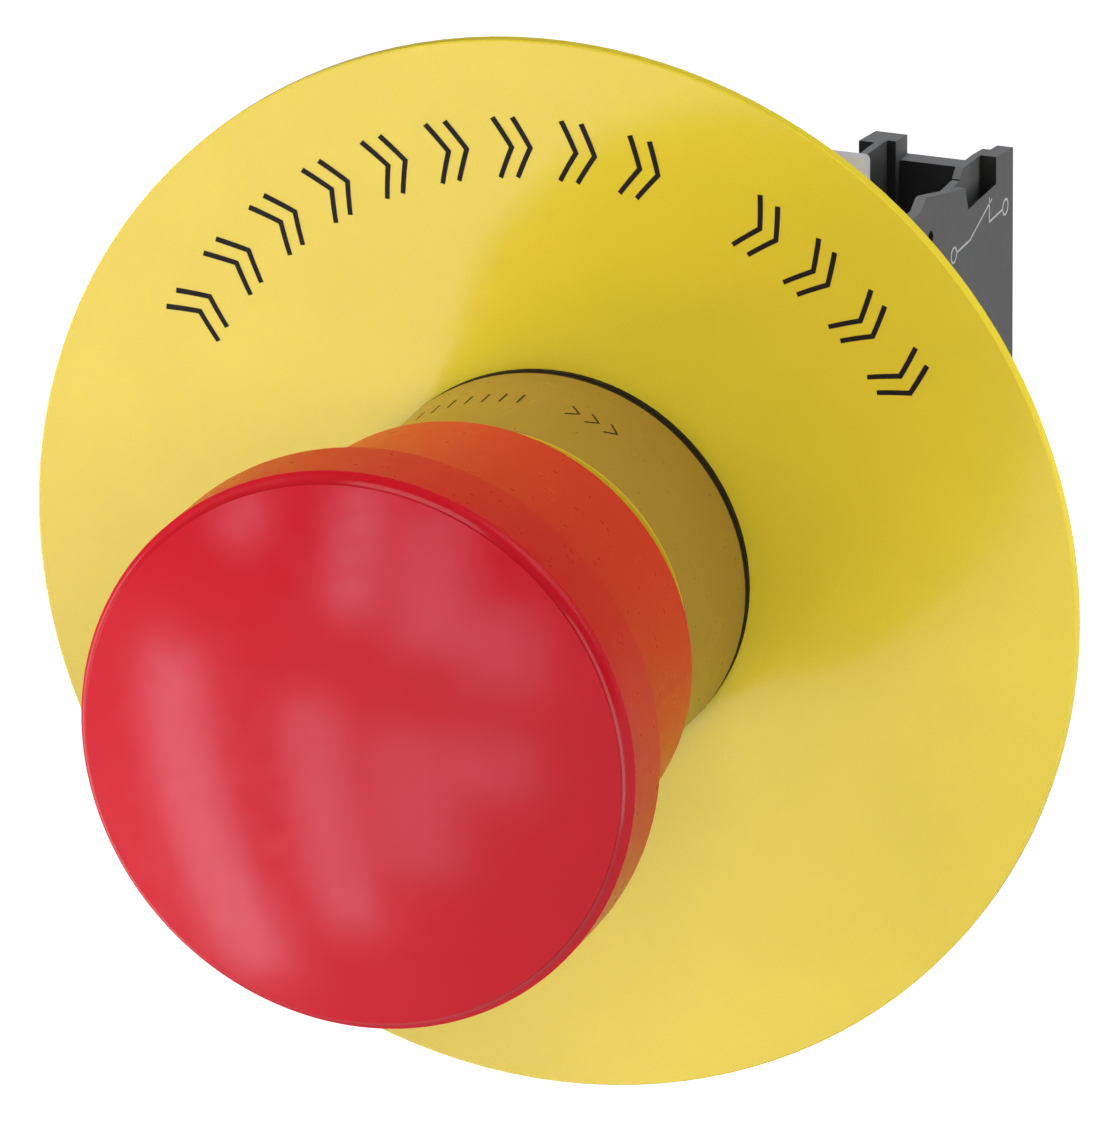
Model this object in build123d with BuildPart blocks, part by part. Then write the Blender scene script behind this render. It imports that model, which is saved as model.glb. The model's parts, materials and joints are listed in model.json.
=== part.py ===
from build123d import *
import os

# Emergency stop button for a 22.3 mm panel hole, with a 40 mm mushroom head and a 75 mm legend plate.
# Millimetres. The button's axis runs along Y and its front faces -Y, with X to the right and Z up.
# The origin is the centre of the panel plane, which is the back face of the legend plate.

# Driving dimensions
TRAVEL = 5.0  # how far the mushroom is pushed in
PLATE_RADIUS = 37.5
PLATE_THICKNESS = 1.2
PANEL_MAX = 4.0  # thickest panel, and the gap left for it
BARREL_RADIUS = 11.0  # through the panel hole
SEAL_RADIUS = 14.03
SEAL_THICKNESS = 1.1
COLLAR_RADIUS = 14.08
COLLAR_LENGTH = 11.35
MUSHROOM_RADIUS = 19.85
MODULE_WIDTH = 10.0
MODULE_REAR = 49.7

# Clearances
SLIDE_GAP = 0.06
SEAT_GAP = 0.05

# Places along the axis, from the front
PLATE_FRONT = -PLATE_THICKNESS
SEAL_FRONT = PLATE_FRONT - SEAL_THICKNESS
COLLAR_FRONT = SEAL_FRONT - COLLAR_LENGTH
SKIRT_BACK = COLLAR_FRONT - 4.05
SKIRT_CREASE = SKIRT_BACK - 17.3
RIM_FRONT = SKIRT_BACK - 23.6
DOME_FRONT = RIM_FRONT - 3.0
WEB_BACK = SKIRT_CREASE + 1.0
WEB_FRONT = WEB_BACK - 2.4
HUB_BACK = WEB_BACK + 3.6
RAM_FRONT = HUB_BACK + 0.4
PIN_Y = -4.0  # latch pins at rest
BARREL_BACK = 16.0
FOOT_BACK = 14.5
FOOT_FRONT = FOOT_BACK - 2.0
RETAINER_BACK = FOOT_FRONT - 0.1
RETAINER_FRONT = RETAINER_BACK - 1.5
HOLDER_FRONT = PANEL_MAX + 0.1
HOLDER_BACK = 20.8
MODULE_FRONT = HOLDER_BACK + 1.0
COVER_BACK = MODULE_FRONT + 1.6

# Radii
PLATE_BORE = 11.3
BARREL_NECK = 11.25
BARREL_TAIL = 10.8
FLANGE_RADIUS = 12.2
FLANGE_THICKNESS = 2.4
RAM_RADIUS = 8.5
GUIDE_RADIUS = RAM_RADIUS + SLIDE_GAP
CHAMBER_RADIUS = 9.7
SHANK_RADIUS = 5.0
SHAFT_RADIUS = 5.4
SHAFT_BORE = SHAFT_RADIUS + SLIDE_GAP
FOOT_RADIUS = 9.3
LATCH_PIN_RADIUS = 1.45
CAP_BODY = 18.6

# Release shaft and its pins
SHAFT_BACK = -10.6
SHAFT_HEX = 8.0  # across flats
GROOVE_Y = -20.0
GROOVE_RADIUS = 4.6
RETAINING_PIN_RADIUS = 0.7
RETAINING_PIN_X = 5.4

# Module holder
HOLDER_HALF_WIDTH = 15.0
HOLDER_HALF_HEIGHT = 20.0
HOLDER_WALL = 1.6
LOCK_SCREW_Z = -17.0
BAR_LOW = 14.0
BAR_HIGH = 16.0
MARKER_TOP = 23.7
MARKER_HALF_WIDTH = 14.5

# Contact module, the one on the right: the left one is the same, turned half a turn about the axis
MODULE_IN = 5.0
MODULE_OUT = MODULE_IN + MODULE_WIDTH
MODULE_MID = MODULE_IN + MODULE_WIDTH / 2
WALL = 1.7
SKIN = 0.55
POCKET_FLOOR = 9.5
CHAMBER_BACK = 39.8
TERMINAL_FRONT = 41.0
REAR_WALL = MODULE_REAR - 1.5
TERMINAL_Z = 5.1
CONTACT_Z = 5.0
SPRING_SEAT = 44.8
POST_FRONT = 47.3
REAR_WALL_TOP = 13.65
STEP_BACK = 41.9  # where the side walls step up to the rear posts
RECESS_FRONT = 40.5
RECESS_BACK = 46.2
RECESS_LOW = 13.5
STRIP = 0.8
STRIP_BACK = 43.4
TIP_HEIGHT = 0.45
STRIP_HALF_WIDTH = 1.8
PLUNGER_NOSE_X = 7.6
PLUNGER_FRONT = FOOT_BACK + 0.2
PLUNGER_BODY = COVER_BACK + 0.3
PLUNGER_BACK = PLUNGER_BODY + 10.5
WINDOW_BACK = PLUNGER_BACK - 0.8

os.makedirs("parts", exist_ok=True)


def across(y):
    """Sketch plane at depth y, local x along X and local y along Z. Its normal points to the front."""
    return Plane.XZ.offset(-y)


def turned(*points, mode=Mode.ADD):
    """Turn a closed outline of (radius, y) points about the button's axis."""
    with BuildSketch(Plane.XY) as section:
        with BuildLine():
            Polyline(*points, close=True)
        make_face()
    revolve(section.sketch, axis=Axis.Y, mode=mode)


def block(low, high, mode=Mode.ADD):
    """Box between two corners."""
    size = [b - a for a, b in zip(low, high)]
    middle = [(a + b) / 2 for a, b in zip(low, high)]
    with Locations(tuple(middle)):
        Box(*size, mode=mode)


def rod(x, z, radius, front, back, mode=Mode.ADD):
    """Cylinder along the button's axis direction, from y = front to y = back."""
    with BuildSketch(across(front)) as section:
        with Locations((x, z)):
            Circle(radius)
    extrude(section.sketch, amount=front - back, mode=mode)


def side_profile(x_low, x_high, *points, mode=Mode.ADD):
    """Outline of (y, z) points, extruded from x_low to x_high."""
    with BuildSketch(Plane.YZ.offset(x_low)) as section:
        with BuildLine():
            Polyline(*points, close=True)
        make_face()
    extrude(section.sketch, amount=x_high - x_low, mode=mode)


def coil(start, direction, mean_radius, wire, length, turns):
    """Open coil spring whose wire's ends lie within length of start."""
    axis = Vector(*direction)
    base = Vector(*start) + axis * (wire / 2)
    rise = length - wire
    with BuildLine() as path:
        Helix(rise / turns, rise, mean_radius, center=base, direction=direction)
    with BuildSketch(Plane(path.line @ 0, z_dir=path.line % 0)) as section:
        Circle(wire / 2)
    sweep(section.sketch, path=path.line, is_frenet=True)


def cross_recess(x, z, surface, into, size):
    """Cross slot sunk in a screw head whose face is at y = surface. into is +1 towards the back."""
    depth = 0.9 * into
    low, high = sorted((surface, surface + depth))
    for half_x, half_z in ((size, 0.28), (0.28, size)):
        block((x - half_x, low, z - half_z), (x + half_x, high, z + half_z), mode=Mode.SUBTRACT)


def write(body, node):
    """Label a finished piece and write it under its node's name."""
    body.part.label = node
    export_step(body.part, f"parts/{node}.step")


# ---------------------------------------------------------------- legend plate, seal and collar
with BuildPart() as legend_plate:
    with BuildSketch(across(0)):
        Circle(PLATE_RADIUS)
        Circle(PLATE_BORE, mode=Mode.SUBTRACT)
    extrude(amount=PLATE_THICKNESS)
    for face, size in ((0, 0.1), (-1, 0.4)):
        rims = legend_plate.faces().sort_by(Axis.Y)[face].edges().sort_by(SortBy.RADIUS)
        chamfer(rims[-1], size)
write(legend_plate, "legend_plate")

with BuildPart() as front_seal:
    turned(
        (PLATE_BORE, PLATE_FRONT),
        (SEAL_RADIUS, PLATE_FRONT),
        (SEAL_RADIUS, PLATE_FRONT - 0.4),
        (SEAL_RADIUS - 0.15, SEAL_FRONT + 0.55),
        (SEAL_RADIUS, SEAL_FRONT + 0.4),
        (SEAL_RADIUS, SEAL_FRONT),
        (PLATE_BORE, SEAL_FRONT),
    )
write(front_seal, "front_seal")

with BuildPart() as collar:
    turned(
        (BARREL_NECK + SEAT_GAP, SEAL_FRONT),
        (COLLAR_RADIUS, SEAL_FRONT),
        (COLLAR_RADIUS, COLLAR_FRONT + 0.12),
        (COLLAR_RADIUS - 0.12, COLLAR_FRONT),
        (FLANGE_RADIUS + SEAT_GAP, COLLAR_FRONT),
        (FLANGE_RADIUS + SEAT_GAP, COLLAR_FRONT + FLANGE_THICKNESS),
        (BARREL_NECK + SEAT_GAP, COLLAR_FRONT + FLANGE_THICKNESS),
    )
write(collar, "collar")

# ---------------------------------------------------------------- barrel through the panel
RAMP_START = PIN_Y - LATCH_PIN_RADIUS - 0.05
SEAL_SEAT = COLLAR_FRONT + 1.8
with BuildPart() as barrel:
    turned(
        (10.0, COLLAR_FRONT),
        (FLANGE_RADIUS, COLLAR_FRONT),
        (FLANGE_RADIUS, COLLAR_FRONT + FLANGE_THICKNESS),
        (BARREL_NECK, COLLAR_FRONT + FLANGE_THICKNESS),
        (BARREL_NECK, 0),
        (BARREL_RADIUS, 0),
        (BARREL_RADIUS, PANEL_MAX),
        (BARREL_TAIL, PANEL_MAX),
        (BARREL_TAIL, BARREL_BACK - 0.5),
        (BARREL_TAIL - 0.5, BARREL_BACK),
        (CHAMBER_RADIUS, BARREL_BACK),
        (CHAMBER_RADIUS, 0.2),
        (GUIDE_RADIUS, RAMP_START),
        (GUIDE_RADIUS, SEAL_SEAT),
        (10.0, SEAL_SEAT),
    )
    # Keyways that stop the ram from turning
    for side in (1, -1):
        low, high = sorted((side * 7.5, side * (CHAMBER_RADIUS - 0.1)))
        block((-1.3, SEAL_SEAT, low), (1.3, 1.0, high), mode=Mode.SUBTRACT)
    # Bayonet grooves behind the panel, where the holder locks on
    for groove in (12.6, 14.2):
        turned(
            (BARREL_TAIL - 0.35, groove),
            (BARREL_TAIL + 1, groove),
            (BARREL_TAIL + 1, groove + 0.6),
            (BARREL_TAIL - 0.35, groove + 0.6),
            mode=Mode.SUBTRACT,
        )
write(barrel, "barrel")

with BuildPart() as stem_seal:
    turned(
        (GUIDE_RADIUS, COLLAR_FRONT + 0.05),
        (GUIDE_RADIUS + 0.5, COLLAR_FRONT + 0.5),
        (9.95, COLLAR_FRONT + 0.05),
        (9.95, SEAL_SEAT - 0.02),
        (GUIDE_RADIUS, SEAL_SEAT - 0.02),
    )
write(stem_seal, "stem_seal")

with BuildPart() as spring_retainer:
    turned(
        (SHANK_RADIUS + 0.5, RETAINER_FRONT),
        (CHAMBER_RADIUS - 0.02, RETAINER_FRONT),
        (CHAMBER_RADIUS - 0.02, RETAINER_BACK),
        (SHANK_RADIUS + 0.5, RETAINER_BACK),
    )
    # Turning slots in its back face
    for angle in (45, 225):
        with BuildSketch(across(RETAINER_BACK)):
            with PolarLocations(7.6, 1, start_angle=angle):
                Rectangle(2.4, 1.2)
        extrude(amount=0.7, mode=Mode.SUBTRACT)
write(spring_retainer, "spring_retainer")

# ---------------------------------------------------------------- ram, which slides in the barrel
FLANGE_FRONT_RADIUS = 10.5
with BuildPart() as ram:
    turned(
        (SHAFT_BORE, RAM_FRONT),
        (FLANGE_FRONT_RADIUS, RAM_FRONT),
        (FLANGE_FRONT_RADIUS, RAM_FRONT + 0.8),
        (RAM_RADIUS, RAM_FRONT + 0.8),
        (RAM_RADIUS, 0),
        (SHANK_RADIUS, 0),
        (SHANK_RADIUS, FOOT_FRONT),
        (1.5, FOOT_FRONT),
        (1.5, 3.5),
        (0, 3.0),
        (0, SHAFT_BACK + 0.6),
        (SHAFT_BORE, SHAFT_BACK + 0.6),
    )
    # Keys
    for side in (1, -1):
        low, high = sorted((side * (RAM_RADIUS - 0.5), side * (CHAMBER_RADIUS - 0.3)))
        block((-1.15, SEAL_SEAT + 0.2, low), (1.15, RAMP_START - 0.9, high))
    # Cross bore for the latch pins
    with Locations(Location((0, PIN_Y, 0), (0, 90, 0))):
        Cylinder(LATCH_PIN_RADIUS + SLIDE_GAP, 2 * RAM_RADIUS + 2, mode=Mode.SUBTRACT)
    # Holes for the two pins that keep the release shaft in
    with Locations((RETAINING_PIN_X, GROOVE_Y, 0), (-RETAINING_PIN_X, GROOVE_Y, 0)):
        Cylinder(RETAINING_PIN_RADIUS + 0.02, 2 * RAM_RADIUS, mode=Mode.SUBTRACT)
write(ram, "ram")

with BuildPart() as presser_foot:
    turned(
        (1.6, FOOT_FRONT),
        (FOOT_RADIUS - 0.4, FOOT_FRONT),
        (FOOT_RADIUS, FOOT_FRONT + 0.4),
        (FOOT_RADIUS, FOOT_BACK),
        (2.8, FOOT_BACK),
        (2.8, FOOT_BACK - 1.2),
        (1.6, FOOT_BACK - 1.2),
    )
write(presser_foot, "presser_foot")

with BuildPart() as presser_screw:
    turned((0, FOOT_BACK - 1.2), (2.6, FOOT_BACK - 1.2), (2.6, FOOT_BACK - 0.1), (0, FOOT_BACK - 0.1))
    rod(0, 0, 1.45, 4.0, FOOT_BACK - 1.2)
    cross_recess(0, 0, FOOT_BACK - 0.1, -1, 1.5)
write(presser_screw, "presser_screw")

with BuildPart() as return_spring:
    coil((0, 0.05, 0), (0, 1, 0), 6.9, 1.0, RETAINER_FRONT - 0.1, 4.5)
write(return_spring, "return_spring")

with BuildPart() as release_spring:
    coil((0, RAM_FRONT + 0.9, 0), (0, 1, 0), RAM_RADIUS + 1.0, 0.9, 5.5, 5)
write(release_spring, "release_spring")

with BuildPart() as shaft_retaining_pins:
    with Locations((RETAINING_PIN_X, GROOVE_Y, 0), (-RETAINING_PIN_X, GROOVE_Y, 0)):
        Cylinder(RETAINING_PIN_RADIUS, 11.0)
write(shaft_retaining_pins, "shaft_retaining_pins")

PIN_INNER = 2.4
PIN_OUTER = RAM_RADIUS - 0.05
for side, node in ((1, "latch_pin_right"), (-1, "latch_pin_left")):
    with BuildPart() as latch_pin:
        with Locations(Location((side * (PIN_INNER + PIN_OUTER) / 2, PIN_Y, 0), (0, 90, 0))):
            Cylinder(LATCH_PIN_RADIUS, PIN_OUTER - PIN_INNER)
        tip = latch_pin.edges().filter_by(GeomType.CIRCLE).sort_by(Axis.X)[-1 if side > 0 else 0]
        fillet(tip, 0.5)
    write(latch_pin, node)

with BuildPart() as latch_spring:
    coil((-PIN_INNER + 0.05, PIN_Y, 0), (1, 0, 0), 1.0, 0.3, 2 * PIN_INNER - 0.1, 6)
write(latch_spring, "latch_spring")

# ---------------------------------------------------------------- mushroom head and release shaft
with BuildPart() as release_shaft:
    turned(
        (0, HUB_BACK + 0.05),
        (SHAFT_RADIUS, HUB_BACK + 0.05),
        (SHAFT_RADIUS, GROOVE_Y - 0.85),
        (GROOVE_RADIUS, GROOVE_Y - 0.85),
        (GROOVE_RADIUS, GROOVE_Y + 0.85),
        (SHAFT_RADIUS, GROOVE_Y + 0.85),
        (SHAFT_RADIUS, SHAFT_BACK - 0.6),
        (SHAFT_RADIUS - 0.6, SHAFT_BACK),
        (0, SHAFT_BACK),
    )
    with BuildSketch(across(HUB_BACK + 0.05)):
        RegularPolygon(SHAFT_HEX / 2, 6, major_radius=False)
    extrude(amount=3.1)
    rod(0, 0, 1.55, WEB_BACK, WEB_BACK + 11, mode=Mode.SUBTRACT)
write(release_shaft, "release_shaft")

SKIRT_RADIUS = 15.78
SKIRT_ROOT = 16.4  # where the skirt meets the hollow under the head
CREASE_RADIUS = 19.72
SKIRT_BORE = 14.5
GRIP_FILLET = 3.0
CAP_SEAT = RIM_FRONT + 1.0
with BuildPart() as mushroom_shell:
    with BuildSketch(Plane.XY):
        with BuildLine():
            skirt = Polyline(
                (SKIRT_BORE, SKIRT_BACK - 6.0),
                (SKIRT_BORE, SKIRT_BACK),
                (SKIRT_RADIUS, SKIRT_BACK),
                (SKIRT_ROOT, SKIRT_CREASE + GRIP_FILLET),
            )
            hollow_end = (SKIRT_ROOT + GRIP_FILLET, SKIRT_CREASE)
            hollow = RadiusArc(skirt @ 1, hollow_end, -GRIP_FILLET)
            side = Polyline(
                hollow @ 1,
                (CREASE_RADIUS, SKIRT_CREASE),
                (MUSHROOM_RADIUS, CAP_SEAT),
            )
            Polyline(
                side @ 1,
                (CAP_BODY + SEAT_GAP, CAP_SEAT),
                (CAP_BODY + SEAT_GAP, WEB_FRONT),
                (1.7, WEB_FRONT),
                (1.7, WEB_BACK + 0.5),
                (4.9, WEB_BACK + 0.5),
                (4.9, HUB_BACK),
                (7.0, HUB_BACK),
                (7.0, WEB_BACK),
                (SKIRT_BORE - 0.2, WEB_BACK),
                (SKIRT_BORE, SKIRT_BACK - 6.0),
            )
        make_face()
    revolve(axis=Axis.Y)
    # Hexagonal driving socket for the release shaft, left by filling the round one
    with BuildSketch(across(HUB_BACK)):
        Circle(5.2)
        RegularPolygon(SHAFT_HEX / 2 + SEAT_GAP, 6, major_radius=False, mode=Mode.SUBTRACT)
    extrude(amount=3.1)
    # Stiffening ribs under the web
    with BuildSketch(across(WEB_BACK)):
        with PolarLocations(10.9, 6, start_angle=30):
            Rectangle(8.2, 1.2)
    extrude(amount=-2.4)
write(mushroom_shell, "mushroom_shell")

CAP_WALL = 1.9
CAP_BACK = WEB_FRONT - SEAT_GAP
CAP_BORE = CAP_BODY - 1.6
INNER_RISE = 3.1
RIM_ROUND = 1.0  # rounds the edge of the head, from its side into the dome
RIM_WIDTH = 0.69
RING_RADIUS = MUSHROOM_RADIUS - RIM_WIDTH  # a fine groove between the rim and the dome
RING_WIDTH = 0.12
RING_DEPTH = 0.05


def arc_radius(chord, rise):
    """Radius of the arc that rises by rise over half a chord."""
    return (chord**2 + rise**2) / (2 * rise)


with BuildPart() as mushroom_cap:
    with BuildSketch(Plane.XY):
        with BuildLine():
            edge = Polyline(
                (CAP_BODY, CAP_BACK),
                (CAP_BODY, CAP_SEAT - SEAT_GAP),
                (MUSHROOM_RADIUS, CAP_SEAT - SEAT_GAP),
            )
            rim = RadiusArc(edge @ 1, (RING_RADIUS, RIM_FRONT), RIM_ROUND)
            ring = Polyline(
                rim @ 1,
                (RING_RADIUS - RING_WIDTH / 2, RIM_FRONT + RING_DEPTH),
                (RING_RADIUS - RING_WIDTH, RIM_FRONT),
            )
            outer_radius = arc_radius(RING_RADIUS - RING_WIDTH, RIM_FRONT - DOME_FRONT)
            dome = RadiusArc(ring @ 1, (0, DOME_FRONT), outer_radius)
            crown = Line(dome @ 1, (0, DOME_FRONT + CAP_WALL))
            inner_end = (CAP_BORE, DOME_FRONT + CAP_WALL + INNER_RISE)
            RadiusArc(crown @ 1, inner_end, -arc_radius(CAP_BORE, INNER_RISE))
            Polyline(inner_end, (CAP_BORE, CAP_BACK), edge @ 0)
        make_face()
    revolve(axis=Axis.Y)
write(mushroom_cap, "mushroom_cap")

with BuildPart() as mushroom_screw:
    turned((0, WEB_FRONT - 2.0), (3.0, WEB_FRONT - 2.0), (3.0, WEB_FRONT), (0, WEB_FRONT))
    rod(0, 0, 1.5, WEB_FRONT, WEB_FRONT + 11)
    cross_recess(0, 0, WEB_FRONT - 2.0, 1, 1.8)
write(mushroom_screw, "mushroom_screw")

# ---------------------------------------------------------------- holder behind the panel
IN_X = HOLDER_HALF_WIDTH - HOLDER_WALL
IN_Z = HOLDER_HALF_HEIGHT - HOLDER_WALL
HOLDER_FLOOR = HOLDER_FRONT + 3.5
with BuildPart() as module_holder:
    with BuildSketch(across(HOLDER_BACK)):
        RectangleRounded(2 * HOLDER_HALF_WIDTH, 2 * HOLDER_HALF_HEIGHT, 2.0)
    extrude(amount=HOLDER_BACK - HOLDER_FRONT)
    block((-IN_X, HOLDER_FLOOR, -IN_Z), (IN_X, HOLDER_BACK, IN_Z), mode=Mode.SUBTRACT)
    rod(0, 0, 12.6, HOLDER_FLOOR, 12.0)
    # Bars that the contact modules hook onto
    for side in (1, -1):
        low, high = sorted((side * BAR_LOW, side * BAR_HIGH))
        block((-IN_X, HOLDER_BACK - 2.0, low), (IN_X, HOLDER_BACK, high))
    # Boss for the locking screw
    rod(0, LOCK_SCREW_Z, 3.0, HOLDER_FLOOR, HOLDER_BACK)
    rod(0, LOCK_SCREW_Z, 1.55, HOLDER_FRONT, HOLDER_BACK, mode=Mode.SUBTRACT)
    rod(0, 0, BARREL_TAIL + 0.1, HOLDER_FRONT, HOLDER_BACK - 8.0, mode=Mode.SUBTRACT)
    # Side windows
    block((-20, 11, -6), (20, 17, 6), mode=Mode.SUBTRACT)
write(module_holder, "module_holder")

with BuildPart() as holder_locking_screw:
    rod(0, LOCK_SCREW_Z, 2.8, HOLDER_BACK + 0.05, HOLDER_BACK + 2.4)
    rod(0, LOCK_SCREW_Z, 1.5, HOLDER_FRONT + 0.05, HOLDER_BACK + 0.05)
    cross_recess(0, LOCK_SCREW_Z, HOLDER_BACK + 2.4, -1, 1.8)
write(holder_locking_screw, "holder_locking_screw")

with BuildPart() as marker_plate:
    with BuildSketch(across(HOLDER_BACK + 0.9)):
        with Locations((0, (BAR_LOW + MARKER_TOP) / 2)):
            RectangleRounded(2 * MARKER_HALF_WIDTH, MARKER_TOP - BAR_LOW, 0.4)
    extrude(amount=0.9)
write(marker_plate, "marker_plate")


# ---------------------------------------------------------------- contact modules
def place(body, node, half_turn):
    """Write a module's piece where it is, or turned half a turn about the button's axis."""
    with BuildPart() as placed:
        add(body.part.rotate(Axis.Y, half_turn))
    write(placed, node)


def module_outline(end):
    """Points of the side walls' outline on one end, end being +1 at the top and -1 at the bottom."""
    outline = ((COVER_BACK, 16.6), (30.7, 16.6), (31.7, 17.2), (32.2, 17.2), (37.0, 15.94), (39.8, 15.3))
    outline += ((STEP_BACK, 15.1), (42.6, 15.7), (RECESS_BACK, 15.45), (MODULE_REAR, 15.0))
    return [(y, end * z) for y, z in outline]


def mirrored(end, near, far):
    """Low and high z of a stretch from near to far, on the end's side of the module's middle."""
    return sorted((end * near, end * far))


def contact_housing(node, half_turn):
    """Moulded case with a wire pocket at the top and bottom and a chamber for the moving contact."""
    inner = MODULE_IN + WALL
    outer = MODULE_OUT - WALL
    post = MODULE_IN + 2.3
    with BuildPart() as housing:
        side_profile(MODULE_IN, MODULE_OUT, *module_outline(1), *module_outline(-1)[::-1])
        for end in (1, -1):
            # Wire pocket between the side walls, and the low rear wall between the corner posts
            low, high = mirrored(end, POCKET_FLOOR, 20)
            block((inner, COVER_BACK + 1.4, low), (outer, POST_FRONT, high), mode=Mode.SUBTRACT)
            block((post, POST_FRONT, low), (outer, REAR_WALL, high), mode=Mode.SUBTRACT)
            low, high = mirrored(end, REAR_WALL_TOP, 20)
            block((post, REAR_WALL, low), (MODULE_OUT - 1.15, MODULE_REAR + 1, high), mode=Mode.SUBTRACT)
            # The side walls' tops step down on their inner edge
            low, high = mirrored(end, 15.0, 20)
            front_corner = (MODULE_IN + 0.75, COVER_BACK + 1.4, low)
            back_corner = (MODULE_OUT - 0.75, STEP_BACK, high)
            block(front_corner, back_corner, mode=Mode.SUBTRACT)
            # Recess in each side wall, beside the rear posts, with a floor that falls away inwards
            recess = [(RECESS_FRONT, RECESS_LOW), (RECESS_BACK, RECESS_LOW), (RECESS_BACK, 20)]
            recess = [(y, end * z) for y, z in (*recess, (39.8, 20), (39.8, 15.3))]
            side_profile(outer + SKIN, MODULE_OUT + 1, *recess, mode=Mode.SUBTRACT)
            side_profile(MODULE_IN - 1, inner - SKIN, *recess, mode=Mode.SUBTRACT)
            for face, skin in ((MODULE_OUT, outer + SKIN), (MODULE_IN, inner - SKIN)):
                corners = [(face, RECESS_LOW), (skin, RECESS_LOW), (skin, RECESS_LOW - abs(face - skin))]
                with BuildSketch(across(RECESS_BACK)):
                    with BuildLine():
                        Polyline(*[(x, end * z) for x, z in corners], close=True)
                    make_face()
                extrude(amount=RECESS_BACK - RECESS_FRONT, mode=Mode.SUBTRACT)
            # Small latch hole in each side
            with Locations(Location((MODULE_MID, 32.7, end * 14.0), (0, 90, 0))):
                Cylinder(0.55, MODULE_WIDTH + 2, mode=Mode.SUBTRACT)
            # Terminal chamber, the slot for its wire and the screw's hole
            low, high = mirrored(end, 2.8, 8.2)
            block((6.6, TERMINAL_FRONT, low), (13.4, REAR_WALL, high), mode=Mode.SUBTRACT)
            low, high = mirrored(end, 8.0, 10)
            block((8.0, STRIP_BACK + 0.2, low), (12.0, STRIP_BACK + 1.9, high), mode=Mode.SUBTRACT)
            rod(MODULE_MID, end * TERMINAL_Z, 2.4, REAR_WALL - 1, MODULE_REAR + 1, mode=Mode.SUBTRACT)
            # Slot that the fixed contact passes through
            low, high = mirrored(end, 6.9, 7.9)
            block((8.1, CHAMBER_BACK - 1, low), (11.9, TERMINAL_FRONT + 1, high), mode=Mode.SUBTRACT)
        block((6.4, COVER_BACK - 1, -8), (13.6, CHAMBER_BACK, 8), mode=Mode.SUBTRACT)
        rod(MODULE_MID, 0, 2.2, CHAMBER_BACK - 1, SPRING_SEAT, mode=Mode.SUBTRACT)
    place(housing, node, half_turn)


def contact_cover(node, half_turn):
    """Front cover with the plunger's guide slot and the hooks that snap into the holder."""
    with BuildPart() as cover:
        block((MODULE_IN, MODULE_FRONT, -16.4), (MODULE_OUT, COVER_BACK - 0.02, 16.4))
        block((6.5, MODULE_FRONT - 1, -1.3), (8.7, COVER_BACK + 1, 1.3), mode=Mode.SUBTRACT)
        for end in (1, -1):
            hook = [(MODULE_FRONT + 0.5, 12.2), (17.6, 12.2), (17.6, 14.2), (18.4, 15.0), (18.4, 13.6)]
            hook += [(MODULE_FRONT + 0.5, 13.6)]
            hook = [(y, end * z) for y, z in hook]
            side_profile(8.0, 12.0, *hook)
    place(cover, node, half_turn)


def contact_plunger(node, half_turn, window_front):
    """Pushed by the presser foot. The bridge and its spring lie in its window."""
    with BuildPart() as plunger:
        nose = PLUNGER_NOSE_X
        block((nose - 1.0, PLUNGER_FRONT, -1.2), (nose + 1.0, PLUNGER_BODY + 0.5, 1.2))
        block((6.8, PLUNGER_BODY, -2.6), (13.2, PLUNGER_BACK, 2.6))
        block((7.8, window_front, -3), (12.2, WINDOW_BACK, 3), mode=Mode.SUBTRACT)
        fillet(plunger.faces().sort_by(Axis.Y)[0].edges(), 0.3)
    place(plunger, node, half_turn)


def contact_tips(front, tip_side):
    """Round tips on a strip whose front is at y = front, on its back (+1) or its front (-1)."""
    face = front + STRIP if tip_side > 0 else front
    tip_front, tip_back = sorted((face, face + tip_side * TIP_HEIGHT))
    for end in (1, -1):
        rod(MODULE_MID, end * CONTACT_Z, 1.2, tip_front, tip_back)


def contact_bridge(node, half_turn, front, tip_side):
    """Brass bridge with a contact tip at each end, on the side that meets the fixed contacts."""
    with BuildPart() as bridge:
        block((8.5, front, -6.4), (11.5, front + STRIP, 6.4))
        contact_tips(front, tip_side)
    place(bridge, node, half_turn)


def fixed_contacts(node, half_turn, tab_front, tip_side):
    """Two strips, from the contact tip to the terminal, as separate solids."""
    with BuildPart() as strips:
        near = MODULE_MID - STRIP_HALF_WIDTH
        far = MODULE_MID + STRIP_HALF_WIDTH
        for end in (1, -1):
            low, high = mirrored(end, 3.8, 7.8)
            block((near, tab_front, low), (far, tab_front + STRIP, high))
            low, high = mirrored(end, 7.8 - STRIP, 7.8)
            block((near, tab_front, low), (far, STRIP_BACK, high))
            low, high = mirrored(end, 3.2, 7.8)
            block((near, STRIP_BACK - 1.2, low), (far, STRIP_BACK, high))
            rod(MODULE_MID, end * TERMINAL_Z, 1.25, STRIP_BACK - 2, STRIP_BACK + 1, mode=Mode.SUBTRACT)
        contact_tips(tab_front, tip_side)
    place(strips, node, half_turn)


def terminal_clamps(node, half_turn):
    """Saddles that press the wires onto the fixed contacts."""
    with BuildPart() as saddles:
        for end in (1, -1):
            low, high = mirrored(end, 3.1, 7.6)
            block((7.4, 45.4, low), (12.6, 46.2, high))
            rod(MODULE_MID, end * TERMINAL_Z, 1.35, 45.0, 47.0, mode=Mode.SUBTRACT)
    place(saddles, node, half_turn)


def terminal_screws(node, half_turn):
    """Screws worked from the back."""
    with BuildPart() as screws:
        for end in (1, -1):
            rod(MODULE_MID, end * TERMINAL_Z, 2.15, 46.25, 48.0)
            rod(MODULE_MID, end * TERMINAL_Z, 1.2, 41.4, 46.25)
            cross_recess(MODULE_MID, end * TERMINAL_Z, 48.0, -1, 1.4)
    place(screws, node, half_turn)


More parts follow.
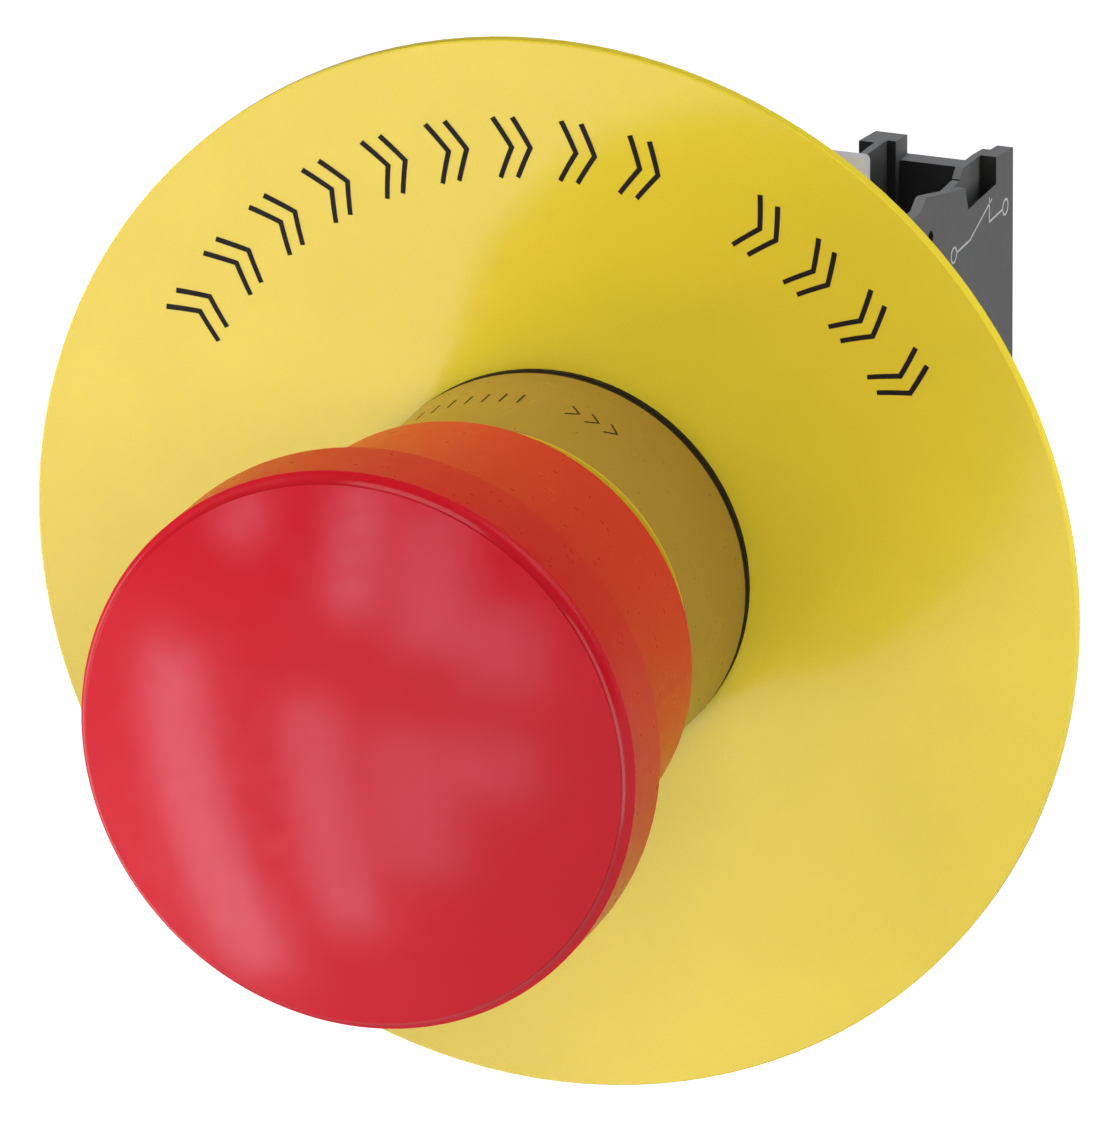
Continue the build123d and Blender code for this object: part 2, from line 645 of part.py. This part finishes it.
def module_spring(node, half_turn, mean_radius, wire, front, back, turns):
    """Coil spring in the module, along the button's axis direction."""
    with BuildPart() as spring:
        coil((MODULE_MID, front, 0), (0, 1, 0), mean_radius, wire, back - front, turns)
    place(spring, node, half_turn)


NC_TAB = COVER_BACK + 0.8
NC_BRIDGE = NC_TAB + STRIP + 2 * TIP_HEIGHT + 0.05
NO_BRIDGE = 28.8
NO_GAP = 0.6 * TRAVEL + 0.03
NO_TAB = NO_BRIDGE + STRIP + 2 * TIP_HEIGHT + NO_GAP
WINDOW_FRONT = NC_BRIDGE - 0.1
CONTACT_SPRING = (1.3, 0.35)  # mean radius and wire
PLUNGER_SPRING = (1.6, 0.4)

# The normally closed module, on the right
contact_bridge("nc_contact_bridge", 0, NC_BRIDGE, -1)
fixed_contacts("nc_fixed_contacts", 0, NC_TAB, 1)
module_spring("nc_contact_spring", 0, *CONTACT_SPRING, NC_BRIDGE + STRIP, WINDOW_BACK, 5)

# The normally open module, on the left
contact_bridge("no_contact_bridge", 180, NO_BRIDGE, 1)
fixed_contacts("no_fixed_contacts", 180, NO_TAB, -1)
module_spring("no_contact_spring", 180, *CONTACT_SPRING, WINDOW_FRONT, NO_BRIDGE, 3)

for kind, turn in (("nc", 0), ("no", 180)):
    contact_housing(f"{kind}_contact_housing", turn)
    contact_cover(f"{kind}_contact_cover", turn)
    contact_plunger(f"{kind}_contact_plunger", turn, WINDOW_FRONT)
    terminal_clamps(f"{kind}_terminal_clamps", turn)
    terminal_screws(f"{kind}_terminal_screws", turn)
    module_spring(f"{kind}_plunger_spring", turn, *PLUNGER_SPRING, PLUNGER_BACK, SPRING_SEAT, 8)
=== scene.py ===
import json
import math

import bmesh
import bpy
from mathutils import Matrix, Vector


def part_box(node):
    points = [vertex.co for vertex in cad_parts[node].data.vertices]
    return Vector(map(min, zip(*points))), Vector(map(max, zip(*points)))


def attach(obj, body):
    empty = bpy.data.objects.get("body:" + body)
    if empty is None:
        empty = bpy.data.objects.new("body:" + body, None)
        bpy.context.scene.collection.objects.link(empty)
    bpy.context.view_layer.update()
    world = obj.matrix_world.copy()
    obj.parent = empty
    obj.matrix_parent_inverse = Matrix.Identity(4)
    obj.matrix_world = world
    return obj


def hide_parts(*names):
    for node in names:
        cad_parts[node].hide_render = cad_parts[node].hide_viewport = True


# Emergency stop button: looks, printed marks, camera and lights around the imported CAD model. Metres.

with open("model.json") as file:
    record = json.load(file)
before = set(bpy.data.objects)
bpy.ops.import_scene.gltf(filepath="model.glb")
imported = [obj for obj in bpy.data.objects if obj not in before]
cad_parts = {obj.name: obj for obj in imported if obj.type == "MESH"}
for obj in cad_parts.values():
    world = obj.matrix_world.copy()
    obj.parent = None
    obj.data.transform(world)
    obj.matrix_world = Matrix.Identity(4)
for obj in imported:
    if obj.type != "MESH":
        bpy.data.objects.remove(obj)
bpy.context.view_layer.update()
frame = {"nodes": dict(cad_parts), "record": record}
MM = 0.001

# Places worked out from the frame
PLATE_LOW, PLATE_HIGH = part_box("legend_plate")
COLLAR_LOW, COLLAR_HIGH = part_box("collar")
MODULE_LOW, MODULE_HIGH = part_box("nc_contact_housing")
PLATE_FACE = PLATE_LOW.y
COLLAR_RADIUS = COLLAR_HIGH.x

# The cap's profile
RIM_FRONT = -41.3 * MM
RIM_ROUND = 1.0 * MM
RIM_WIDTH = 0.69 * MM
CAP_SEAT = RIM_FRONT + 0.95 * MM
CAP_STEP = 1.25 * MM
CAP_WALL = 1.9 * MM
SKIRT_WALL = 1.6 * MM
INNER_RISE = 3.1 * MM
ON_AXIS = 1e-7  # radii below this are the axis itself
TURNED_STEPS = 256

# Camera: a very long lens, so that it draws almost without perspective
AZIMUTH = math.radians(19.87)
ELEVATION = math.radians(19.85)
VIEW_HEIGHT = 76.46 * MM
VIEW_SHIFT = (0.27 * MM, 0.13 * MM)  # right and up, from the middle of the legend plate's front
LENS = 1680.0
SENSOR = 36.0

# Studio
FLOOR_Z = -1.3
LIGHT_DISTANCE = 1.6
LIGHT_CENTRE = Vector((0, RIM_FRONT, 0))
FLOOR_REACH = 15.0
FLOOR_GLOW = 1.0
LOW_SKY = 0.45
HIGH_SKY = 0.07
HORIZON = 0.1  # half the height of the blend between the two skies


# ---------------------------------------------------------------- materials
CLOUD_SIZE = 6 * MM


class Nodes:
    """Short ways to add and link the nodes of one material."""

    def __init__(self, name):
        self.material = bpy.data.materials.new(name)
        self.material.use_nodes = True
        self.tree = self.material.node_tree
        self.shader = self.tree.nodes["Principled BSDF"]
        coordinates = self.tree.nodes.new("ShaderNodeTexCoord")
        self.place = coordinates.outputs["Object"]

    def link(self, output, node, socket):
        self.tree.links.new(output, node.inputs[socket])

    def noise(self, size, detail=2.0, stretch=(1, 1, 1)):
        """Noise with features of about size metres."""
        mapping = self.tree.nodes.new("ShaderNodeMapping")
        mapping.inputs["Scale"].default_value = stretch
        self.link(self.place, mapping, "Vector")
        noise = self.tree.nodes.new("ShaderNodeTexNoise")
        noise.inputs["Scale"].default_value = 1.0 / size
        noise.inputs["Detail"].default_value = detail
        self.link(mapping.outputs["Vector"], noise, "Vector")
        return noise.outputs["Fac"]

    def spread(self, value, low, high):
        """Map noise, which lies mostly between 0.3 and 0.7, to low..high."""
        span = self.tree.nodes.new("ShaderNodeMapRange")
        span.inputs["From Min"].default_value = 0.3
        span.inputs["From Max"].default_value = 0.7
        span.inputs["To Min"].default_value = low
        span.inputs["To Max"].default_value = high
        self.link(value, span, "Value")
        return span.outputs["Result"]

    def mix(self, factor, first, second):
        """Mix two colours by a factor."""
        mix = self.tree.nodes.new("ShaderNodeMix")
        mix.data_type = "RGBA"
        self.link(factor, mix, "Factor")
        mix.inputs["A"].default_value = (*first, 1)
        mix.inputs["B"].default_value = (*second, 1)
        return mix.outputs["Result"]

    def grained(self, colour, size, amount):
        """Fine specks of lighter and darker colour."""
        mix = self.tree.nodes.new("ShaderNodeMix")
        mix.data_type = "RGBA"
        mix.blend_type = "MULTIPLY"
        mix.inputs["Factor"].default_value = 1.0
        self.link(colour, mix, "A")
        self.link(self.spread(self.noise(size, 1.0), 1 - amount, 1 + amount), mix, "B")
        return mix.outputs["Result"]

    def in_front(self, y, colour, behind):
        """The colour where the surface lies in front of y, and behind elsewhere."""
        split = self.tree.nodes.new("ShaderNodeSeparateXYZ")
        self.link(self.place, split, "Vector")
        step = self.tree.nodes.new("ShaderNodeMath")
        step.operation = "LESS_THAN"
        self.link(split.outputs["Y"], step, 0)
        step.inputs[1].default_value = y
        mix = self.tree.nodes.new("ShaderNodeMix")
        mix.data_type = "RGBA"
        self.link(step.outputs["Value"], mix, "Factor")
        self.link(behind, mix, "A")
        mix.inputs["B"].default_value = (*colour, 1)
        return mix.outputs["Result"]

    def bump(self, height, distance):
        """Relief of the given height in metres, as surface normals."""
        bump = self.tree.nodes.new("ShaderNodeBump")
        bump.inputs["Distance"].default_value = distance
        self.link(height, bump, "Height")
        self.link(bump.outputs["Normal"], self.shader, "Normal")


def shade(colour, factor):
    """The colour made lighter or darker."""
    return tuple(min(1.0, c * factor) for c in colour)


def plastic(name, colour, roughness, grain=0.1 * MM, depth=0.001 * MM, variation=0.05, ior=1.5, front=None):
    """Moulded plastic: cloudy colour, spark-eroded grain and uneven gloss.

    front = (y, colour) is the colour of what lies in front of y.
    """
    n = Nodes(name)
    factor = n.spread(n.noise(CLOUD_SIZE, 4.0), 0.0, 1.0)
    mixed = n.mix(factor, shade(colour, 1 - variation), shade(colour, 1 + variation))
    if front:
        mixed = n.in_front(front[0], front[1], mixed)
    n.link(n.grained(mixed, 0.12 * MM, 0.03), n.shader, "Base Color")
    gloss = n.noise(1.3 * MM, 3.0)
    n.link(n.spread(gloss, roughness - 0.03, roughness + 0.03), n.shader, "Roughness")
    n.shader.inputs["IOR"].default_value = ior
    n.bump(n.noise(grain, 2.0), depth)
    return n.material


def rubber(name, colour):
    """Dark rubber with a fine grain."""
    n = Nodes(name)
    factor = n.spread(n.noise(2.0 * MM, 4.0), 0.0, 1.0)
    n.link(n.mix(factor, shade(colour, 0.8), shade(colour, 1.3)), n.shader, "Base Color")
    n.link(n.spread(n.noise(0.6 * MM, 3.0), 0.55, 0.7), n.shader, "Roughness")
    n.shader.inputs["Specular IOR Level"].default_value = 0.25
    n.bump(n.noise(0.08 * MM, 3.0), 0.004 * MM)
    return n.material


def metal(name, colour, roughness, stretch=(1, 12, 1), tarnish=0.12):
    """Drawn or plated metal, with fine lines across the stretched axis and a slight tarnish."""
    n = Nodes(name)
    factor = n.spread(n.noise(1.5 * MM, 5.0), 0.0, 1.0)
    n.link(n.mix(factor, shade(colour, 1 - tarnish), colour), n.shader, "Base Color")
    lines = n.noise(0.4 * MM, 3.0, stretch)
    n.link(n.spread(lines, roughness - 0.08, roughness + 0.08), n.shader, "Roughness")
    n.shader.inputs["Metallic"].default_value = 1.0
    n.bump(n.noise(0.15 * MM, 2.0, stretch), 0.002 * MM)
    return n.material


def ink(name, colour):
    """Printing ink, with slightly uneven cover."""
    n = Nodes(name)
    factor = n.spread(n.noise(0.3 * MM, 3.0), 0.0, 1.0)
    n.link(n.mix(factor, shade(colour, 0.85), shade(colour, 1.1)), n.shader, "Base Color")
    n.link(n.spread(n.noise(0.5 * MM, 2.0), 0.45, 0.6), n.shader, "Roughness")
    n.shader.inputs["Specular IOR Level"].default_value = 0.2
    n.bump(n.noise(0.06 * MM, 2.0), 0.002 * MM)
    return n.material


# The front parts are smoother and more even than the other plastic
SMOOTH = {"depth": 0.0006 * MM, "variation": 0.02}
# The collar is the plate's yellow plastic. Only its front face keeps that own colour; the rest of it takes
# yellow_collar's darker colour, which is painted shade for the side that gets less light.
COLLAR_UNSHADED_FACE = (COLLAR_LOW.y + 0.05 * MM, (0.75, 0.56, 0.03))

MATERIALS = {
    "yellow_plate": plastic("yellow_plate", (0.69, 0.55, 0.036), 0.13, **SMOOTH),
    # Painted shade: this darker yellow stands for the shade on the collar's side, not a different plastic.
    "yellow_collar": plastic(
        "yellow_collar", (0.41, 0.25, 0.045), 0.3, grain=0.15 * MM, front=COLLAR_UNSHADED_FACE, **SMOOTH
    ),
    "red_shell": plastic("red_shell", (0.66, 0.010, 0.024), 0.3, grain=0.15 * MM, ior=1.36, **SMOOTH),
    "red_cap": plastic("red_cap", (0.51, 0.006, 0.018), 0.18, grain=0.15 * MM, **SMOOTH),
    "black_rubber": rubber("black_rubber", (0.012, 0.010, 0.009)),
    "black_plastic": plastic("black_plastic", (0.022, 0.022, 0.024), 0.45, depth=0.004 * MM),
    "grey_plastic": plastic("grey_plastic", (0.045, 0.046, 0.048), 0.45, depth=0.006 * MM, variation=0.08),
    "white_plastic": plastic("white_plastic", (0.62, 0.62, 0.68), 0.45, variation=0.03),
    "natural_plastic": plastic("natural_plastic", (0.62, 0.60, 0.52), 0.4, variation=0.05),
    "spring_steel": metal("spring_steel", (0.52, 0.52, 0.53), 0.3),
    "zinc_steel": metal("zinc_steel", (0.66, 0.67, 0.70), 0.32),
    "contact_brass": metal("contact_brass", (0.72, 0.52, 0.24), 0.3),
    "black_ink": ink("black_ink", (0.012, 0.011, 0.010)),
    "brown_ink": ink("brown_ink", (0.03, 0.022, 0.01)),
    "white_ink": ink("white_ink", (0.70, 0.70, 0.72)),
}

# CAD nodes whose material isn't called by their slot's own name
SLOT_MATERIALS = {"yellow_plastic": "yellow_plate", "red_plastic": "red_shell"}


def dress_cad_nodes():
    """Give each CAD node the material of its slot."""
    for entry in frame["record"]["subparts"]:
        slot = entry["material_slot"]
        node = frame["nodes"][entry["node"]]
        node.data.materials.clear()
        node.data.materials.append(MATERIALS[SLOT_MATERIALS.get(slot, slot)])


# ---------------------------------------------------------------- dome
def turned(name, profile, steps=TURNED_STEPS):
    """Turn (radius, y) points about the button's axis. The first and last points lie on the axis."""
    bm = bmesh.new()
    rings = []
    for radius, y in profile:
        if radius < ON_AXIS:
            rings.append([bm.verts.new((0, y, 0))])
            continue
        angles = [2 * math.pi * i / steps for i in range(steps)]
        rings.append([bm.verts.new((radius * math.sin(a), y, radius * math.cos(a))) for a in angles])
    for low, high in zip(rings, rings[1:]):
        for i in range(steps):
            j = (i + 1) % steps
            corners = [low[i % len(low)], low[j % len(low)], high[j % len(high)], high[i % len(high)]]
            bm.faces.new(list(dict.fromkeys(corners)))
    bmesh.ops.recalc_face_normals(bm, faces=bm.faces)
    mesh = bpy.data.meshes.new(name)
    bm.to_mesh(mesh)
    bm.free()
    piece = bpy.data.objects.new(name, mesh)
    bpy.context.scene.collection.objects.link(piece)
    mesh.shade_smooth()
    mesh.set_sharp_from_angle(angle=math.radians(20))
    return piece


def arc(start, end, radius, count):
    """Points of the convex arc from start to end, both (radius, y), without the start."""
    start, end = Vector(start), Vector(end)
    middle, half = (start + end) / 2, (end - start) / 2
    inward = Vector((-half.y, half.x)).normalized()
    centre = middle + inward * math.sqrt(max(0, radius**2 - half.length_squared))
    first = (start - centre).normalized()
    sweep = first.angle_signed((end - centre).normalized())
    turns = [Matrix.Rotation(-sweep * (i + 1) / count, 2) for i in range(count)]
    return [tuple(centre + (turn @ first) * radius) for turn in turns]


def bowl(middle, chord, rise, count):
    """Points of a shallow arc from the axis at y = middle out to chord, rise further back."""
    sphere = (chord**2 + rise**2) / (2 * rise)
    radii = [chord * i / count for i in range(count + 1)]
    return [(x, middle + sphere - math.sqrt(sphere**2 - x**2)) for x in radii]


def mushroom_dome():
    """Finely divided copy of the cap, so that reflections run over it without a trace of triangles."""
    low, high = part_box("mushroom_cap")
    body = high.x - CAP_STEP
    bore = body - SKIRT_WALL
    ring = high.x - RIM_WIDTH
    profile = bowl(low.y + CAP_WALL, bore, INNER_RISE, 24)
    profile += [(bore, high.y), (body, high.y), (body, CAP_SEAT), (high.x, CAP_SEAT)]
    profile += arc((high.x, CAP_SEAT), (ring, RIM_FRONT), RIM_ROUND, 16)
    profile += bowl(low.y, ring, RIM_FRONT - low.y, 48)[-2::-1]
    dome = turned("mushroom_dome", profile)
    dome.data.materials.append(MATERIALS["red_cap"])
    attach(dome, "mushroom")
    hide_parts("mushroom_cap")


# ---------------------------------------------------------------- printed marks
def stroke_outline(points, width):
    """Mitred outline round an open line of 2-D points."""
    points = [Vector(p) for p in points]
    left, right = [], []
    for i, p in enumerate(points):
        before = (p - points[i - 1]).normalized() if i else None
        after = (points[i + 1] - p).normalized() if i + 1 < len(points) else None
        along = ((before or after) + (after or before)).normalized()
        normal = Vector((-along.y, along.x))
        reach = width / 2 / max(0.3, along.dot(after or before))
        left.append(p + normal * reach)
        right.append(p - normal * reach)
    return left + right[::-1]


def divided(points, step):
    """The same line with points at most step apart, so that it can follow a curved surface."""
    result = [Vector(points[0])]
    for a, b in zip(points, points[1:]):
        a, b = Vector(a), Vector(b)
        count = max(1, math.ceil((b - a).length / step))
        result += [a.lerp(b, (i + 1) / count) for i in range(count)]
    return result


def printed(name, strokes, width, wrap, thickness, material, body):
    """Thin ink marks. wrap(u, v, height) places a flat point on the surface, height above it."""
    mesh = bpy.data.meshes.new(name)
    bm = bmesh.new()
    for stroke in strokes:
        outline = stroke_outline(divided(stroke, 0.5 * MM), width)
        count = len(outline)
        rings = [[bm.verts.new(wrap(p.x, p.y, h)) for p in outline] for h in (-thickness, thickness)]
        half = count // 2
        for i in range(half - 1):
            far = count - 1 - i
            bm.faces.new((rings[1][i], rings[1][i + 1], rings[1][far - 1], rings[1][far]))
            bm.faces.new((rings[0][far], rings[0][far - 1], rings[0][i + 1], rings[0][i]))
        for i in range(count):
            j = (i + 1) % count
            bm.faces.new((rings[0][i], rings[0][j], rings[1][j], rings[1][i]))
    bmesh.ops.recalc_face_normals(bm, faces=bm.faces)
    bm.to_mesh(mesh)
    bm.free()
    marks = bpy.data.objects.new(name, mesh)
    bpy.context.scene.collection.objects.link(marks)
    mesh.materials.append(MATERIALS[material])
    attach(marks, body)


def on_plate(u, v, height):
    """u is an angle clockwise from the top, v a radius."""
    return (v * math.sin(u), PLATE_FACE - height, v * math.cos(u))


def plate_marks():
    """Thin chevrons round the top of the plate, pointing clockwise, the way the head is turned."""
    inner, outer = 27.7 * MM, 32.0 * MM
    middle = (inner + outer) / 2
    pitch = math.radians(8.9)
    first = math.radians(-59.3)
    starts = (-0.04, 0.005)  # angles of the two chevrons in a cell, from its middle
    reach = 0.037  # angle by which a chevron's tip leads its ends
    cells, gap = 14, 9
    strokes = []
    for cell in range(cells):
        if cell == gap:
            continue
        centre = first + cell * pitch
        for start in starts:
            tip = centre + start + reach
            strokes.append([(centre + start, inner), (tip, middle), (centre + start, outer)])
    flat = [[(a * middle, r) for a, r in s] for s in strokes]
    printed(
        "plate_marks",
        flat,
        0.36 * MM,
        lambda u, v, h: on_plate(u / middle, v, h),
        0.02 * MM,
        "black_ink",
        "front",
    )


def collar_marks():
    """Small ticks and chevrons on top of the collar."""
    middle = (COLLAR_LOW.y + COLLAR_HIGH.y) / 2 + 0.4 * MM
    half = 0.8 * MM
    strokes = []
    for k in range(7):
        u = COLLAR_RADIUS * math.radians(-32 + 5.2 * k)
        strokes.append([(u, middle - half), (u, middle + half)])
    for k in range(3):
        u = COLLAR_RADIUS * math.radians(15 + 6 * k)
        strokes.append([(u - 0.4 * MM, middle - half), (u + 0.4 * MM, middle), (u - 0.4 * MM, middle + half)])
    printed(
        "collar_marks",
        strokes,
        0.14 * MM,
        lambda u, v, h: (
            (COLLAR_RADIUS + h) * math.sin(u / COLLAR_RADIUS),
            v,
            (COLLAR_RADIUS + h) * math.cos(u / COLLAR_RADIUS),
        ),
        0.015 * MM,
        "brown_ink",
        "front",
    )


def ring_line(middle, radius, steps=16):
    """A closed circle round a point of the symbol's line, in millimetres."""
    turns = [2 * math.pi * i / steps for i in range(steps + 1)]
    return [(middle + radius * math.cos(t), radius * math.sin(t)) for t in turns]


def module_marks(name, side):
    """The circuit symbol of a contact on a module's outer side: 1 for the right module, -1 for the left."""
    face = MODULE_HIGH.x
    back = MODULE_HIGH.y
    centre = 11.2 * MM
    symbol = [
        ring_line(-12.2, 0.55),
        [(-11.65, 0.0), (-8.9, 0.0), (-4.4, 1.5)],
        [(-4.9, 1.75), (-4.9, 0.0), (-2.15, 0.0)],
        ring_line(-1.6, 0.55),
    ]
    strokes = [[(back + y * MM, centre + z * MM) for y, z in line] for line in symbol]
    printed(
        name,
        strokes,
        0.15 * MM,
        lambda u, v, h: (side * (face + h), u, side * v),
        0.015 * MM,
        "white_ink",
        "holder",
    )


# ---------------------------------------------------------------- camera, floor and lights
def direction(azimuth, elevation):
    """Unit vector from the object, azimuth in degrees from the front towards +X."""
    a, e = math.radians(azimuth), math.radians(elevation)
    return Vector((math.sin(a) * math.cos(e), -math.cos(a) * math.cos(e), math.sin(e)))


def add_camera():
    """Camera square to its view direction, aimed at the legend plate's front."""
    right = Vector((math.cos(AZIMUTH), math.sin(AZIMUTH), 0))
    back = direction(math.degrees(AZIMUTH), math.degrees(ELEVATION))
    up = back.cross(right)
    aim = Vector((0, PLATE_FACE, 0)) + right * VIEW_SHIFT[0] + up * VIEW_SHIFT[1]
    camera = bpy.data.objects.new("camera", bpy.data.cameras.new("camera"))
    bpy.context.scene.collection.objects.link(camera)
    distance = LENS * VIEW_HEIGHT / SENSOR
    turn = Matrix((right, up, back)).transposed().to_4x4()
    camera.matrix_world = Matrix.Translation(aim + back * distance) @ turn
    camera.data.lens = LENS
    camera.data.sensor_width = SENSOR
    camera.data.clip_start = 0.1
    camera.data.clip_end = 30.0
    bpy.context.scene.camera = camera


def add_floor():
    """White floor far below, which the camera sees and the object doesn't reflect."""
    mesh = bpy.data.meshes.new("floor")
    corners = [(-FLOOR_REACH, -FLOOR_REACH), (FLOOR_REACH, -FLOOR_REACH)]
    corners += [(FLOOR_REACH, FLOOR_REACH), (-FLOOR_REACH, FLOOR_REACH)]
    mesh.from_pydata([(x, y, FLOOR_Z) for x, y in corners], [], [(0, 1, 2, 3)])
    floor = bpy.data.objects.new("floor", mesh)
    bpy.context.scene.collection.objects.link(floor)
    n = Nodes("pale_floor")
    n.shader.inputs["Base Color"].default_value = (0.9, 0.9, 0.9, 1)
    n.shader.inputs["Roughness"].default_value = 0.9
    n.shader.inputs["Emission Color"].default_value = (1, 1, 1, 1)
    n.shader.inputs["Emission Strength"].default_value = FLOOR_GLOW
    mesh.materials.append(n.material)
    floor.visible_diffuse = False
    floor.visible_glossy = False


def softbox(name, azimuth, elevation, width, height, radiance, colour=(1, 1, 1), mirrored=True):
    """Rectangular light that covers width by height degrees as the object sees it.

    With mirrored off it lights the object and stays out of its reflections.
    """
    toward = direction(azimuth, elevation)
    light = bpy.data.lights.new(name, "AREA")
    light.shape = "RECTANGLE"
    light.size = 2 * LIGHT_DISTANCE * math.tan(math.radians(width / 2))
    light.size_y = 2 * LIGHT_DISTANCE * math.tan(math.radians(height / 2))
    light.energy = radiance * math.pi * light.size * light.size_y
    light.color = colour
    box = bpy.data.objects.new(name, light)
    bpy.context.scene.collection.objects.link(box)
    box.location = LIGHT_CENTRE + toward * LIGHT_DISTANCE
    box.rotation_euler = toward.to_track_quat("Z", "Y").to_euler()
    box.visible_camera = False
    box.visible_glossy = mirrored
    return box


def add_world():
    """Plain surroundings: white behind the object, and dimmer in what lights it and what it reflects."""
    world = bpy.data.worlds.new("studio")
    bpy.context.scene.world = world
    world.use_nodes = True
    tree = world.node_tree
    background = tree.nodes["Background"]
    background.inputs["Color"].default_value = (1, 1, 1, 1)
    coordinates = tree.nodes.new("ShaderNodeTexCoord")
    split = tree.nodes.new("ShaderNodeSeparateXYZ")
    step = tree.nodes.new("ShaderNodeMapRange")
    path = tree.nodes.new("ShaderNodeLightPath")
    white = tree.nodes.new("ShaderNodeMath")
    white.operation = "MAXIMUM"
    tree.links.new(coordinates.outputs["Generated"], split.inputs["Vector"])
    tree.links.new(split.outputs["Z"], step.inputs["Value"])
    step.inputs["From Min"].default_value = -HORIZON
    step.inputs["From Max"].default_value = HORIZON
    step.inputs["To Min"].default_value = LOW_SKY
    step.inputs["To Max"].default_value = HIGH_SKY
    tree.links.new(step.outputs["Result"], white.inputs[0])
    tree.links.new(path.outputs["Is Camera Ray"], white.inputs[1])
    tree.links.new(white.outputs["Value"], background.inputs["Strength"])


# Softboxes: name, azimuth and elevation of the middle, width and height in degrees, radiance.
# The windows are what the dome reflects.
WINDOWS = (
    ("window_left", -42, -27.5, 8.5, 37, 2.8),
    ("window_middle", -23, -26.5, 7, 29, 2.15),
    ("window_middle_top", -18, 7.5, 6, 17, 2.75),
    ("window_right_top", -7.5, 5, 9, 18, 1.7),
    ("window_right_side", 2, -2.5, 10, 11, 1.25),
    ("window_right", -10.5, -23.5, 10, 19, 1.2),
    ("window_right_low", 0.5, -18, 10, 8, 1.2),
    ("window_small", -34, 8, 7, 7, 2.4),
)
FILLS = (
    ("fill_left", -80, -40, 30, 40, 8.7),
    ("fill_left_high", -75, 35, 40, 40, 3.3),
)
BACK_FILLS = (
    ("rim_left", -80, -20, 16, 60, 1.6),
    ("fill_back", 180, 75, 40, 40, 1.25),
    ("fill_back_right", 112, 0, 30, 60, 1.2),
)
FILL_CAMERA = ("fill_camera", 26, 26, 30, 30, 7.5, (1.03, 1.0, 0.82))
BACK_TOP = ("back_top", 180, 75, 40, 40, 14.5)
BACK_RIGHT = ("back_right", 106, 5, 30, 60, 4.2)
WINDOW_TINT = (0.93, 0.91, 1.12)


def linked(box, nodes, state):
    """Keep a light to these nodes, or keep it off them."""
    receivers = bpy.data.collections.new(box.name)
    for node in nodes:
        receivers.objects.link(frame["nodes"][node])
    for member in receivers.collection_objects:
        member.light_linking.link_state = state
    box.light_linking.receiver_collection = receivers


def add_lights():
    """FILL_CAMERA skips what stands behind the plate. BACK_TOP and BACK_RIGHT light only that.

    BACK_RIGHT also lights the plate, for its edge.
    """
    for light in WINDOWS:
        softbox(*light, WINDOW_TINT)
    for light in FILLS:
        softbox(*light, mirrored=False)
    for light in BACK_FILLS:
        softbox(*light)
    behind = [node for node in frame["record"]["behaviour"]["bodies"]["holder"] if node != "marker_plate"]
    linked(softbox(*FILL_CAMERA, mirrored=False), behind, "EXCLUDE")
    linked(softbox(*BACK_TOP), behind, "INCLUDE")
    linked(softbox(*BACK_RIGHT), [*behind, "legend_plate"], "INCLUDE")


add_camera()
dress_cad_nodes()
mushroom_dome()
plate_marks()
collar_marks()
module_marks("nc_module_marks", 1)
module_marks("no_module_marks", -1)
add_world()
add_floor()
add_lights()
bpy.context.scene.view_settings.view_transform = "Standard"
